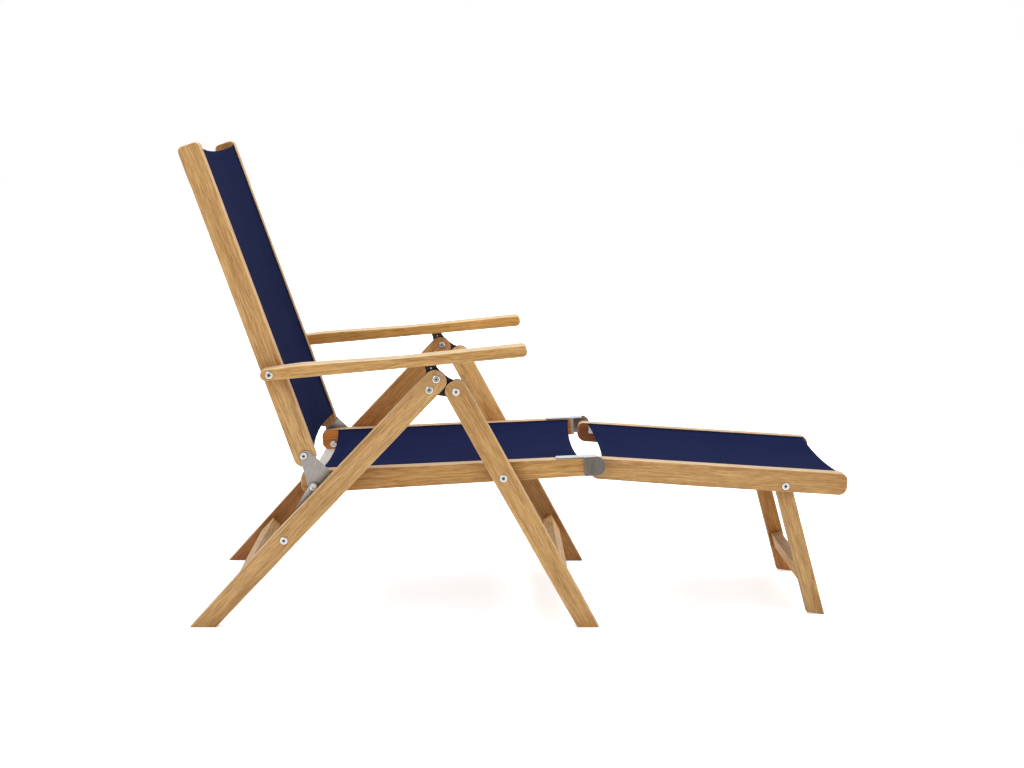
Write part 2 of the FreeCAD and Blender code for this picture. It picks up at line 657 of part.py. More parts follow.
# ---------------------------------------------------------------- hinge plates, seat to back
lobe = dim.hinge_lobe
for name, side in SIDES:
    slab(
        "hinge_plate_" + name, SEAT, (dim.rail_out + dim.plate_thick / 2, dim.plate_thick), side,
        [(-dim.hinge_pin_u - lobe, dim.hinge_pin_v + lobe, lobe * 0.9),
         (-dim.hinge_pin_u + lobe, dim.hinge_pin_v + lobe, lobe * 0.9),
         (dim.hinge_fix_u + lobe, dim.hinge_fix_v + lobe * 0.6, lobe * 0.6),
         (dim.hinge_fix_u + lobe, dim.hinge_fix_v - lobe, lobe * 0.7),
         (-lobe, -lobe * 0.95, lobe * 0.7),
         (-lobe * 1.08, 0)],
        [(-dim.hinge_pin_u, dim.hinge_pin_v, dim.hole_round), (0, 0, dim.hole_round),
         (dim.hinge_fix_u, dim.hinge_fix_v, dim.screw_hole)],
        rounding="lobe",
    )
bolt_pair("hinge_plate_screw", at(SEAT, dim.hinge_fix_u, dim.hinge_fix_v),
          dim.rail_in + dim.screw_short, PLATE_OUT, radius=dim.screw_round,
          head=dim.screw_head, thick=dim.screw_head_thick, crown=dim.screw_head_crown,
          face=dim.screw_face, socket=dim.screw_socket)

# ---------------------------------------------------------------- link bars
half = dim.link_wide / 2
for name, side in SIDES:
    slab(
        "link_bar_" + name, LINK, (dim.link_in + dim.link_thick / 2, dim.link_thick), side,
        box(-dim.link_long - half, -half, half, half, *[half * 0.98] * 4),
        [(0, 0, dim.hole_round), (-dim.link_long, 0, dim.hole_round + dim.link_hole_extra)],
        rounding="end",
    )
# the head stands 0.1 off the bar
bolt_pair("link_head_bolt", LINKTOP, dim.rail_in, LINK_OUT + 0.1,
          thick=dim.link_head_thick, crown=dim.link_head_crown,
          nut=(WIDE_NUT, dim.link_nut_thick))


# ---------------------------------------------------------------- footrest brackets
def footrest_bracket(label, side):
    """Two cheeks joined by a strap; local Y = 0 is the outer face of the seat rail."""
    body = new_body(label)
    rail_top = dim.seat_rail_front_top
    top = rail_top + dim.plate_thick
    low = -dim.cap_low
    rail_thick = dim.rail_out - dim.rail_in

    # outer cheek: a D-shaped plate beyond the end of the rail, growing outwards
    sketch = new_sketch(body, label + "_cheek")
    polygon(sketch, box(dim.cap_rear, low, dim.cap_front, top))
    tip = pad(body, sketch, label + "_outer", dim.plate_thick, both=False, reverse=(side > 0))
    round_corners(body, tip, label + "_round", [
        (dim.cap_front, low, dim.cap_round), (dim.cap_front, top, dim.cap_round)])

    # strap along the top of the rail, rising towards the rear with the rail
    sketch = new_sketch(body, label + "_strap_sketch")
    rise = dim.strap_slope * (dim.cap_rear - dim.cap_strap)
    polygon(sketch, [
        (dim.cap_strap, rail_top + rise + dim.strap_gap),
        (dim.cheek_front, rail_top + dim.strap_gap),
        (dim.strap_front, rail_top + dim.strap_gap),
        (dim.strap_front, top),
        (dim.cheek_front, top),
        (dim.cap_strap, top + rise),
    ])
    pad(body, sketch, label + "_strap", rail_thick, both=False, reverse=(side < 0))

    # inner cheek let into the rail end
    sketch = new_sketch(body, label + "_inner_sketch", offset=rail_thick * side)
    polygon(sketch, box(dim.cap_rear, low, dim.cheek_front, top))
    pad(body, sketch, label + "_inner", dim.cheek_sunk, both=False, reverse=(side > 0))
    body.Placement = place(SEAT, dim.rail_out * side)


for name, side in SIDES:
    footrest_bracket("footrest_bracket_" + name, side)

# plain pins standing on the inner face of the outer cheek, their ends inside the footrest rails
items = []
for name, side in SIDES:
    pin = primitive("Part::Cylinder", "footrest_pin_" + name, Radius=dim.bolt_round,
                    Height=dim.rail_out - dim.footrail_out + dim.pin_deep - dim.pin_end_gap)
    along_y(pin, FOOTPIN, (dim.footrail_out - dim.pin_deep + dim.pin_end_gap) * side, side)
    items.append(pin)
group("footrest_hinge_pins", items)
ring_pair("footrest_hinge_sleeves", "footrest_sleeve", FOOTPIN,
          dim.footrail_out + dim.slide_gap, dim.rail_out, dim.foot_sleeve_round)

# ---------------------------------------------------------------- back
for name, side in SIDES:
    body = slab(
        "back_stile_" + name, BACK, STILE_LAYER, side,
        box(-dim.stile_end, -dim.stile_front, dim.stile_top, dim.stile_rear,
            dim.stile_end_round, dim.stile_top_round, dim.stile_top_round,
            dim.stile_end_round),
        [(0, 0, dim.hole_round), (dim.stile_arm_u, dim.stile_arm_v, dim.hole_round)],
        dim.edge_round,
    )
    groove(body, STILE_LAYER, side, dim.back_sling_low, -dim.back_sling_v,
           dim.back_sling_top, -dim.back_sling_v)
crossbar("back_lower_crossbar", BACK, dim.back_bar_low_u, dim.back_bar_v, dim.rail_in)
crossbar("back_top_crossbar", BACK, dim.back_bar_top_u, dim.back_bar_v, dim.rail_in)
bolt_pair("back_pivot_bolt", BACKPIN, dim.rail_in, PLATE_OUT,
          thick=dim.back_head_thick, crown=dim.back_head_crown,
          nut=(NARROW_NUT, dim.back_nut_thick))


# ---------------------------------------------------------------- armrests
def arm_rack(body, side):
    """Rack under the arm: a channel with cross notches for the tab of the bracket."""
    label = body.Label
    offset = (dim.rack_in + dim.rack_wide / 2 - ARM_LAYER[0]) * (-side)
    floor = -dim.arm_low + dim.rack_deep
    sketch = new_sketch(body, label + "_rack_sketch", offset=offset)
    polygon(sketch, box(dim.rack_start, -dim.arm_low - dim.rack_over, dim.rack_end, floor))
    pocket(body, sketch, label + "_rack", dim.rack_wide)
    sketch = new_sketch(body, label + "_notch_sketch", offset=offset)
    for k in range(NOTCHES):
        circle(sketch, dim.notch_first + dim.notch_step * k, floor - dim.notch_drop,
               dim.notch_round)
    pocket(body, sketch, label + "_notches", dim.rack_wide)


for name, side in SIDES:
    body = slab(
        "armrest_" + name, ARM, ARM_LAYER, side,
        [(-dim.arm_tail, -dim.arm_low, dim.arm_tail_round),
         (dim.arm_nose, -dim.arm_low, dim.arm_nose_round),
         (dim.arm_nose, dim.arm_front_v, dim.arm_nose_round),
         (dim.arm_waist_u, dim.arm_waist_v),
         (dim.arm_hump_u, dim.arm_hump_v),
         (-dim.arm_tail, dim.arm_tail_top, dim.arm_tail_round)],
        [(0, 0, dim.hole_round)], dim.edge_round,
    )
    arm_rack(body, side)
bolt_pair("arm_pivot_bolt", ARMPIN, dim.rail_in, dim.arm_out, nut=CAP_NUT)

# ---------------------------------------------------------------- footrest
for name, side in SIDES:
    label = "footrest_rail_" + name
    body = slab(
        label, FOOT, FOOTRAIL_LAYER, side,
        [(-dim.footrail_rear, -dim.footrail_low_rear, dim.footrail_rear_low_round),
         (dim.footrail_bend_u, -dim.footrail_low),
         (dim.footrail_front, -dim.footrail_low, dim.footrail_front_round),
         (dim.footrail_front, dim.footrail_top, dim.footrail_front_round),
         (-dim.footrail_rear, dim.footrail_top, dim.footrail_rear_top_round)],
        [(dim.footrail_pin_u, -dim.footrail_pin_v, dim.hole_round)], dim.edge_round,
    )
    # blind hole for the hinge pin, from the outer face
    outer_face = FOOTRAIL_LAYER[1] / 2 * side
    sketch = new_sketch(body, label + "_pin_sketch", offset=-outer_face)
    circle(sketch, 0, 0, dim.hole_round)
    sink(body, sketch, label + "_pin_hole", outer_face, dim.pin_deep)
    groove(body, FOOTRAIL_LAYER, side, dim.foot_sling_rear, dim.foot_sling_v,
           dim.foot_sling_front, dim.foot_sling_v)
crossbar("footrest_rear_crossbar", FOOT, dim.foot_bar_rear_u, -dim.foot_bar_v,
         dim.footrail_in)
crossbar("footrest_front_crossbar", FOOT, dim.foot_bar_front_u, -dim.foot_bar_v,
         dim.footrail_in)

# steel leaf on the inner face of each footrest rail, beside the hinge
for name, side in SIDES:
    slab("footrest_hinge_leaf_" + name, FOOT,
         (dim.footrail_in - dim.leaf_thick / 2, dim.leaf_thick), side, LEAF_OUTLINE)

bolt_pair("footrest_leg_bolt", LEGPIN, dim.footleg_in, dim.footrail_out, nut=CAP_NUT)
ring_pair("footrest_leg_spacers", "footrest_leg_spacer", LEGPIN,
          dim.footleg_out + dim.slide_gap, dim.footrail_in, dim.footleg_spacer_round)

for name, side in SIDES:
    slab(
        "footrest_leg_" + name, FOOTLEG, FOOTLEG_LAYER, side,
        [(-dim.footleg_head, -dim.footleg_rear, dim.footleg_round),
         (dim.footleg_rear_u, -dim.footleg_rear),
         (dim.footleg_front_u, dim.footleg_front),
         (-dim.footleg_head, dim.footleg_front, dim.footleg_round)],
        [(0, 0, dim.hole_round)], dim.edge_round,
    )
crossbar("footrest_leg_stretcher", FOOTLEG, dim.foot_stretcher_u, dim.foot_stretcher_v,
         dim.footleg_in, dim.foot_stretcher_deep, dim.foot_stretcher_thick)


# ---------------------------------------------------------------- slings and cords
def hem_frame(frame, v, tilt=0.0):
    """Frame of a sling: shifted by v from the frame of its rails, then tilted by tilt degrees."""
    return (at(frame, 0, v), Size.of(frame[1].number + tilt))


def sling(label, frame, start, end, half, into, scoop_start, scoop_end):
    """A fabric panel hung between two rails, sagging along V towards into (-1 or +1)."""
    body = new_body(label)
    sketch = new_sketch(body, label + "_section", "YZ_Plane", start)
    # the section is an arched band: chord 2 * half, sag in the middle
    upper, lower = [], []
    for k in range(SLING_STEPS + 1):
        across = -1 + 2 * k / SLING_STEPS
        dip = (1 - across * across) * into
        upper.append((half * across, dim.sling_sag * dip + dim.sling_thick / 2))
        lower.append((half * across, dim.sling_sag * dip - dim.sling_thick / 2))
    polygon(sketch, upper + lower[::-1])
    pad(body, sketch, label + "_panel", end - start, both=False)
    # each end is scooped by a circle through its two corners
    for sketch_name, cut_name, end_u, deep, inward in (
        ("_scoop_sketch", "_scoop_a", start, scoop_start, 1),
        ("_scoop_b_sketch", "_scoop_b", end, scoop_end, -1),
    ):
        radius = (half * half + deep * deep) / (deep * 2)
        sketch = new_sketch(body, label + sketch_name, "XY_Plane")
        circle(sketch, end_u + (deep - radius) * inward, 0, radius)
        pocket(body, sketch, label + cut_name, dim.through_cut)
    body.Placement = place(frame)


def cords(label, frame, start, end, half):
    """The two cords inside the hems of a sling, half away from the centre plane."""
    x, z = at(frame, start + dim.cord_short, 0)
    items = []
    for name, side in SIDES:
        cord = primitive("Part::Cylinder", "%s_%s" % (label, name), Radius=dim.cord_round,
                         Height=end - start - dim.cord_short * 2)
        cord.Placement = FreeCAD.Placement(
            Vector(x.number, half.number * side, z.number),
            Rotation(Vector(0, 1, 0), 90 - frame[1].number),
        )
        items.append(cord)
    group(label, items)


RAIL_CORD = dim.rail_in + dim.cord_in
FOOT_CORD = dim.footrail_in + dim.cord_in
# the seat sling falls towards the front of the rails; its hem is at seat_sling_v at the rear end
seat_tilt = dim.seat_sling_tilt.number
seat_lift = (dim.seat_sling_v.number
             + dim.seat_sling_rear.number * math.tan(math.radians(seat_tilt)))

# label, frame, start, end, half width, cord distance, sag direction, scoop at start and end
SLINGS = (
    ("seat_sling", hem_frame(SEAT, seat_lift, -seat_tilt), dim.seat_sling_rear,
     dim.seat_sling_front, dim.sling_half, RAIL_CORD, -1, dim.scoop_deep, dim.scoop_deep),
    ("back_sling", hem_frame(BACK, -dim.back_sling_v), dim.back_sling_low,
     dim.back_sling_top, dim.sling_half, RAIL_CORD, 1, dim.back_scoop_low, dim.scoop_deep),
    ("footrest_sling", hem_frame(FOOT, dim.foot_sling_v), dim.foot_sling_rear,
     dim.foot_sling_front, dim.foot_sling_half, FOOT_CORD, -1, dim.foot_scoop_rear,
     dim.foot_scoop_front),
)
for label, frame, start, end, half, cord_y, into, scoop_start, scoop_end in SLINGS:
    sling(label, frame, start, end, half, into, scoop_start, scoop_end)
    cords(label + "_cords", frame, start, end, cord_y)

# ---------------------------------------------------------------- check and write
doc.recompute()
for item in doc.Objects:
    state = item.State
    if "Invalid" in state or "Error" in state:
        raise RuntimeError("%s is %s" % (item.Label, state))
for item in PARTS:
    if item.Shape.isNull() or not item.Shape.isValid() or not item.Shape.Solids:
        raise RuntimeError("%s has no valid shape" % item.Label)

os.makedirs("parts", exist_ok=True)
for item in PARTS:
    item.Shape.exportStep("parts/%s.step" % item.Label)
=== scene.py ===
import math
from collections import namedtuple

import bmesh
import bpy
import numpy as np
from mathutils import Matrix, Vector

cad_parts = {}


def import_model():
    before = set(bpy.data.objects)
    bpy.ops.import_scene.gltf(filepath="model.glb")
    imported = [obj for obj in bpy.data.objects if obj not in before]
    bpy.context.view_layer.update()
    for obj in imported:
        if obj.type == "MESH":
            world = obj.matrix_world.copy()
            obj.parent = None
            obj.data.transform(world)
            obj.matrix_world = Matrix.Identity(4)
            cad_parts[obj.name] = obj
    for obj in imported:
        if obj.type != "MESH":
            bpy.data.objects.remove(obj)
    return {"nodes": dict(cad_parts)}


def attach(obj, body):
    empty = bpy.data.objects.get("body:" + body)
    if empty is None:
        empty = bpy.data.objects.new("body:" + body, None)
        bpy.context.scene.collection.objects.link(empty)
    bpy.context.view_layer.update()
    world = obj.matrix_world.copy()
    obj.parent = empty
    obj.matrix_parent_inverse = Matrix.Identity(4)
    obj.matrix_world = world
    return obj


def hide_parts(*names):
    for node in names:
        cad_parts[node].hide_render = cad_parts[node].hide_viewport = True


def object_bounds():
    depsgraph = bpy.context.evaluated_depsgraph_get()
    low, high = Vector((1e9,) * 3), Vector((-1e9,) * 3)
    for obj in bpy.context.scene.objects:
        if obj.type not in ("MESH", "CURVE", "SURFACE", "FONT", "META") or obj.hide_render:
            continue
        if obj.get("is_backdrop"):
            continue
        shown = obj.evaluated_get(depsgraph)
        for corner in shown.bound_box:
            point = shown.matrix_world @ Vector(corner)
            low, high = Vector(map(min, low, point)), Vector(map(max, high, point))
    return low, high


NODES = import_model()["nodes"]


def plain(value):
    """The value with vectors and arrays turned into lists, ready for JSON."""
    if isinstance(value, dict):
        return {k: plain(v) for k, v in value.items()}
    if isinstance(value, (list, tuple)) or hasattr(value, "to_tuple"):
        return [plain(v) for v in value]
    if hasattr(value, "tolist"):
        return value.tolist()
    return value


sizes = {"loaded": plain(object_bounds())}

# Where each member starts (x, z) and how many degrees it leans up from +X.
Member = namedtuple("Member", "x z lean")
REAR = Member(-0.5228, 0.1993, 46.9)
FRONT = Member(-0.1435, 0.5335, -61.16)
SEAT = Member(-0.4585, 0.3134, 3.75)
BACK = Member(-0.4798, 0.3833, 109.53)
ARM = Member(-0.5475, 0.5708, 5.56)
FOOT = Member(0.1664, 0.3595, -3.5)
LEG = Member(0.5973, 0.3112, -74.1)
LINK = Member(SEAT.x, SEAT.z, 60.59)
SEAT_PIVOT = (-0.0389, 0.3409)


# ------------------------------------------------------------------ node helpers
class Net:
    """Builds a node tree. Any input may be a constant or another node's output."""

    def __init__(self, tree):
        self.tree = tree

    def feed(self, node, inputs):
        for key, value in inputs.items():
            if isinstance(value, bpy.types.NodeSocket):
                self.tree.links.new(value, node.inputs[key])
            else:
                node.inputs[key].default_value = value

    def add(self, kind, inputs=None, **settings):
        node = self.tree.nodes.new(kind)
        for key, value in settings.items():
            setattr(node, key, value)
        self.feed(node, inputs or {})
        return node

    def math(self, operation, a, b=0.0, clamp=False):
        return self.add(
            "ShaderNodeMath", {0: a, 1: b}, operation=operation, use_clamp=clamp
        ).outputs[0]

    def times(self, a, b):
        return self.math("MULTIPLY", a, b)

    def plus(self, a, b, clamp=False):
        return self.math("ADD", a, b, clamp)

    def vector(self, operation, a, b=(0.0, 0.0, 0.0), output="Vector"):
        return self.add(
            "ShaderNodeVectorMath", {0: a, 1: b}, operation=operation
        ).outputs[output]

    def split(self, vector):
        return self.add("ShaderNodeSeparateXYZ", {0: vector}).outputs

    def combine(self, x, y, z):
        return self.add("ShaderNodeCombineXYZ", {0: x, 1: y, 2: z}).outputs[0]

    def grey(self, value):
        return self.add("ShaderNodeCombineColor", {0: value, 1: value, 2: value}).outputs[0]

    def place(self):
        return self.add("ShaderNodeTexCoord").outputs["Object"]

    def noise(self, vector, stretch=None, scale=1.0, detail=3.0, rough=0.5, distortion=0.0,
              output="Fac"):
        """Noise, with the coordinates multiplied by stretch first if it is given."""
        if stretch:
            vector = self.vector("MULTIPLY", vector, stretch)
        return self.add("ShaderNodeTexNoise", {
            "Vector": vector, "Scale": scale, "Detail": detail, "Roughness": rough,
            "Distortion": distortion}).outputs[output]

    def ramp(self, value, stops):
        """A colour ramp through stops of (position, colour)."""
        node = self.add("ShaderNodeValToRGB", {"Fac": value})
        elements = node.color_ramp.elements
        while len(elements) < len(stops):
            elements.new(0.5)
        for element, (position, colour) in zip(elements, stops):
            element.position = position
            element.color = (*colour, 1.0)
        return node.outputs["Color"]

    def remap(self, value, span, to=(0.0, 1.0)):
        return self.add("ShaderNodeMapRange", {
            "Value": value, "From Min": span[0], "From Max": span[1],
            "To Min": to[0], "To Max": to[1]}, clamp=True).outputs["Result"]

    def mix(self, fac, first, second, blend="MIX"):
        first, second = (
            colour if isinstance(colour, bpy.types.NodeSocket) else (*colour, 1.0)
            for colour in (first, second))
        return self.add("ShaderNodeMix", {0: fac, 6: first, 7: second},
                        data_type="RGBA", blend_type=blend).outputs[2]

    def multiply(self, first, second):
        return self.mix(1.0, first, second, "MULTIPLY")

    def stain(self, base, mask, amount, colour):
        """Lays a colour over the base where the mask is 1, at the given strength."""
        return self.mix(self.times(mask, amount), base, colour)

    def edges(self, radius, samples):
        """The rounded normal, the true normal, and a value that drops below 1 at edges."""
        soft = self.add("ShaderNodeBevel", {"Radius": radius}, samples=samples).outputs[0]
        face = self.add("ShaderNodeNewGeometry").outputs
        edge = self.vector("DOT_PRODUCT", soft, face["Normal"], output="Value")
        return soft, face["True Normal"], edge

    def openness(self, distance, samples):
        return self.add(
            "ShaderNodeAmbientOcclusion", {"Distance": distance}, samples=samples
        ).outputs["AO"]

    def bump(self, shader, height, strength, distance, normal=None):
        inputs = {"Strength": strength, "Distance": distance, "Height": height}
        if normal is not None:
            inputs["Normal"] = normal
        self.feed(shader, {"Normal": self.add("ShaderNodeBump", inputs).outputs[0]})


def new_material(name):
    material = bpy.data.materials.new(name)
    material.use_nodes = True
    material.node_tree.nodes.clear()
    net = Net(material.node_tree)
    shader = net.add("ShaderNodeBsdfPrincipled")
    net.add("ShaderNodeOutputMaterial", {0: shader.outputs[0]})
    return material, net, shader


def member_coords(net, lean, across=False):
    """Object coordinates with X along the grain: along the member, or across the chair."""
    turned = net.add("ShaderNodeMapping", {
        "Vector": net.place(), "Rotation": (0.0, math.radians(lean), 0.0)}).outputs[0]
    if not across:
        return turned
    x, y, z = net.split(turned)
    return net.combine(y, x, z)


# ------------------------------------------------------------------ teak
# Each noise: stretch along the grain, stretch across it, detail, roughness, distortion.
GRAIN_NOISES = {
    "drift": (2.4, 12.0, 4.0, 0.55, 0.0),
    "bend": (3.4, 17.0, 4.0, 0.55, 0.35),
    "strength": (1.6, 45.0, 3.0, 0.6, 0.0),
    "fibre": (11.0, 420.0, 6.0, 0.70, 0.0),
    "coarse": (13.0, 230.0, 5.0, 0.70, 0.25),
    "streak": (3.6, 62.0, 5.0, 0.62, 0.5),
    "fleck": (38.0, 340.0, 4.0, 0.65, 0.2),
    "pores": (30.0, 760.0, 2.0, 0.5, 0.0),
}
# Slow change of tone along a board: ramp position, colour.
TEAK_TONES = [
    (0.28, (0.470, 0.255, 0.088)), (0.45, (0.590, 0.345, 0.132)),
    (0.60, (0.690, 0.435, 0.185)), (0.76, (0.540, 0.305, 0.110)),
]
SEED_SHIFT = (1.73, 0.231, 0.317)  # how far one unit of seed moves the grain
RING_DENSITY = 900.0  # growth lines, in radians per metre of depth
RING_SKEW = 0.55  # how much the lines also cut across the width
RING_WANDER = 46.0  # radians the lines wander along the board
RING_SHARPNESS = 3.0


def teak_group():
    """Long-grained teak: growth lines, fibres, pores and slow changes of tone."""
    group = bpy.data.node_groups.new("teak_grain", "ShaderNodeTree")
    for way, name, kind in (
        ("INPUT", "Vector", "Vector"), ("INPUT", "Seed", "Float"), ("OUTPUT", "Color", "Color"),
        ("OUTPUT", "Height", "Float"), ("OUTPUT", "Roughness", "Float"),
    ):
        group.interface.new_socket(name=name, in_out=way, socket_type="NodeSocket" + kind)
    net = Net(group)
    source = net.add("NodeGroupInput").outputs
    offset = net.combine(*[net.times(source["Seed"], shift) for shift in SEED_SHIFT])
    grain = net.vector("ADD", source["Vector"], offset)
    noise = {
        name: net.noise(grain, stretch=(along, across, across), detail=detail, rough=rough,
                        distortion=distortion)
        for name, (along, across, detail, rough, distortion) in GRAIN_NOISES.items()}
    fibre, coarse, fleck = noise["fibre"], noise["coarse"], noise["fleck"]
    pores = net.remap(noise["pores"], span=(0.58, 0.72))

    # growth lines: thin sheets through the thickness that wander slowly along the board
    x, y, z = net.split(grain)
    depth = net.plus(z, net.times(y, RING_SKEW))
    rings = net.plus(net.times(depth, RING_DENSITY), net.times(noise["bend"], RING_WANDER))
    wave = net.plus(net.times(net.math("SINE", rings), 0.5), 0.5)
    line = net.times(net.math("POWER", wave, RING_SHARPNESS),
                     net.remap(noise["strength"], span=(0.42, 0.66)))

    base = net.ramp(noise["drift"], TEAK_TONES)
    for mask, amount, colour in (
        (net.remap(coarse, span=(0.42, 0.62)), 0.50, (0.300, 0.135, 0.038)),
        (net.remap(noise["streak"], span=(0.50, 0.64)), 0.46, (0.290, 0.128, 0.036)),
        (line, 0.46, (0.225, 0.095, 0.028)),
        (net.remap(fleck, span=(0.54, 0.68)), 0.42, (0.260, 0.118, 0.034)),
        (net.remap(fleck, span=(0.46, 0.32)), 0.34, (0.820, 0.590, 0.290)),
        (net.remap(fibre, span=(0.48, 0.72)), 0.40, (0.850, 0.640, 0.340)),
        (pores, 0.60, (0.140, 0.058, 0.018)),
    ):
        base = net.stain(base, mask, amount, colour)
    # raised fibres, with sunken pores and growth lines
    height = net.plus(net.times(fibre, 0.55), net.times(coarse, 0.25))
    for hollow, weight in ((pores, 0.45), (line, 0.12)):
        height = net.math("SUBTRACT", height, net.times(hollow, weight))
    # roughness 0.40 and up, more on fibres and in pores
    rough = net.plus(net.times(fibre, 0.22), 0.40)
    rough = net.plus(rough, net.times(pores, 0.16), clamp=True)
    net.add("NodeGroupOutput", {"Color": base, "Height": height, "Roughness": rough})
    return group


TEAK = teak_group()
TEAK_BRIGHTNESS = 0.865
PAINTED_LOW_SHADE = (0.56, 0.49, 0.43)  # painted shade: further darkening of the inner faces low on the chair
ARM_PAINTED_TOP_TONE = (0.72, 0.76, 0.76)  # painted light: tone of the upward faces of the armrests
PAINTED_TOP_TONE = (0.80, 0.78, 0.74)  # painted light: tone of the upward faces of the other boards


def teak(name, lean, seed, tone_and_painted_light, painted_inner_light, painted_top_tone):
    """Teak for one board, with painted light and shade on the faces turned to the middle. A
    board with none of this painted inner light runs across the chair.
    """
    material, net, shader = new_material("teak_" + name)
    across = painted_inner_light is None
    grain = net.add("ShaderNodeGroup", {
        "Vector": member_coords(net, lean, across), "Seed": seed}, node_tree=TEAK).outputs
    colour = net.multiply(grain["Color"], tuple(TEAK_BRIGHTNESS * part for part in tone_and_painted_light))
    soft, normal, edge = net.edges(radius=0.0025, samples=4)
    normal_x, normal_y, normal_z = net.split(normal)
    if not across:
        # faces turned to the middle of the chair get painted light and shade, with the painted
        # shade deeper near the ground
        x, y, z = net.split(net.place())
        painted_inner_mask = net.remap(net.times(normal_y, net.math("SIGN", y)), span=(-0.15, -0.8))
        painted_low_shade = tuple(part * low for part, low in zip(painted_inner_light, PAINTED_LOW_SHADE))
        shading = net.mix(net.remap(z, span=(0.42, 0.20)), painted_inner_light, painted_low_shade)
        colour = net.mix(painted_inner_mask, colour, net.multiply(colour, shading))
    # painted light: upper faces are toned and paled towards grey-beige, as the overhead light
    # shows them
    painted_top_mask = net.remap(normal_z, span=(0.70, 0.97))
    colour = net.stain(net.mix(painted_top_mask, colour, net.multiply(colour, painted_top_tone)), painted_top_mask,
                       amount=0.30, colour=(0.62, 0.53, 0.40))
    if not across:
        # painted highlight: a pale cream line along the rounded upper edges stands in for rim
        # light
        sideways = net.math("ABSOLUTE", normal_y)
        rest = net.math("SUBTRACT", 1.0, net.times(sideways, sideways), clamp=True)
        rounded = net.times(sideways, net.math("SQRT", rest))
        painted_rim_highlight = net.times(net.remap(rounded, span=(0.22, 0.48)),
                          net.remap(normal_z, span=(-0.30, 0.10)))
        colour = net.stain(colour, painted_rim_highlight, amount=0.50, colour=(0.82, 0.68, 0.47))
    # sanded edges are a little paler, and the hollows between members get painted shade
    colour = net.stain(colour, net.remap(edge, span=(0.997, 0.86)),
                       amount=0.45, colour=(0.86, 0.74, 0.54))
    # painted shade: where ambient occlusion finds other members close by, the colour is darkened
    # warm
    hollow = net.remap(net.openness(distance=0.06, samples=4), span=(0.25, 0.95), to=(1.0, 0.0))
    colour = net.stain(colour, hollow, amount=0.70,
                       colour=net.multiply(colour, (0.66, 0.47, 0.32)))
    net.feed(shader, {"Base Color": colour, "Roughness": grain["Roughness"],
                      "Specular IOR Level": 0.32})
    net.bump(shader, grain["Height"], strength=0.35, distance=0.0006, normal=soft)
    return material


# ------------------------------------------------------------------ metals
HEAD_RADIUS = 0.0083  # of the turned bolt and screw heads


def painted_head_shade(net, base, axes, ring, wall, floor):
    """Paints shade in rings about each axis (x, z): painted shade on the socket floor and wall,
    on a sunk ring that has no geometry, and at the outer rim.
    """
    nearest = None
    for x, z in axes:
        flat = net.vector("MULTIPLY", net.place_once, (1.0, 0.0, 1.0))
        away = net.vector("DISTANCE", flat, (x, 0.0, z), output="Value")
        nearest = away if nearest is None else net.math("MINIMUM", nearest, away)
    # fraction of the head radius, brightness
    bands = [
        (0.00, floor), (0.20, floor), (0.27, wall), (0.40, wall), (0.45, 0.95), (0.52, 0.95),
        (0.56, ring), (0.68, ring), (0.73, 1.0), (0.94, 1.0), (1.00, 0.40),
    ]
    painted_band_shade = net.ramp(net.math("DIVIDE", nearest, HEAD_RADIUS),
                    [(position, (brightness,) * 3) for position, brightness in bands])
    return net.multiply(base, painted_band_shade)


def metal(name, lean, colour, worn_and_top_lit_colour, rough, brushed=1.0, metallic=1.0, painted_shade_reach=0.02,
          painted_shade_depth=0.25, bevel=0.0008, turned=None, top=0.0):
    """Rolled plate with brushing along the part, rubbed edges and painted shade in the recesses.

    recess is the reach of the painted shade in recesses and deep its darkest value; turned holds
    the axes and band brightnesses of the painted shade rings on turned heads; top is how far
    upper faces take the worn colour as painted light."""
    material, net, shader = new_material(name)
    coords = member_coords(net, lean)
    lines = net.noise(coords, stretch=(26.0, 1500.0, 1500.0), detail=4.0, rough=0.6)
    cloud = net.noise(coords, scale=55.0, detail=4.0, rough=0.6)
    fine = net.noise(coords, scale=900.0, detail=2.0, rough=0.5)
    dull = tuple(0.80 * part for part in colour)
    base = net.mix(net.remap(cloud, span=(0.3, 0.7)), dull, colour)
    base = net.stain(base, net.remap(lines, span=(0.4, 0.75)), amount=0.22 * brushed,
                     colour=worn_and_top_lit_colour)
    soft, normal, edge = net.edges(radius=bevel, samples=6)
    base = net.stain(base, net.remap(edge, span=(0.995, 0.85)), amount=0.8, colour=worn_and_top_lit_colour)
    # painted light: upper faces are paled towards the worn colour, as the overhead light shows
    # them
    if top:
        painted_top_mask = net.remap(net.split(normal)[2], span=(0.4, 0.9))
        base = net.stain(base, painted_top_mask, amount=top, colour=worn_and_top_lit_colour)
    if turned:
        net.place_once = net.place()
        base = painted_head_shade(net, base, *turned)
    # painted shade: recesses found by the ambient occlusion are darkened
    painted_recess_shade = net.remap(net.openness(painted_shade_reach, samples=6), span=(0.45, 0.92), to=(painted_shade_depth, 1.0))
    base = net.multiply(base, net.grey(painted_recess_shade))
    # roughness varies a little with the cloud and the brushing
    roughness = net.plus(net.times(cloud, 0.16), rough - 0.08)
    roughness = net.plus(roughness, net.times(lines, 0.10 * brushed), clamp=True)
    net.feed(shader, {"Base Color": base, "Metallic": metallic, "Roughness": roughness})
    height = net.plus(net.times(lines, brushed), net.times(fine, 0.4))
    net.bump(shader, height, strength=0.18, distance=0.00012, normal=soft)
    return material


# ------------------------------------------------------------------ woven sling
THREAD_PITCH = 0.0016


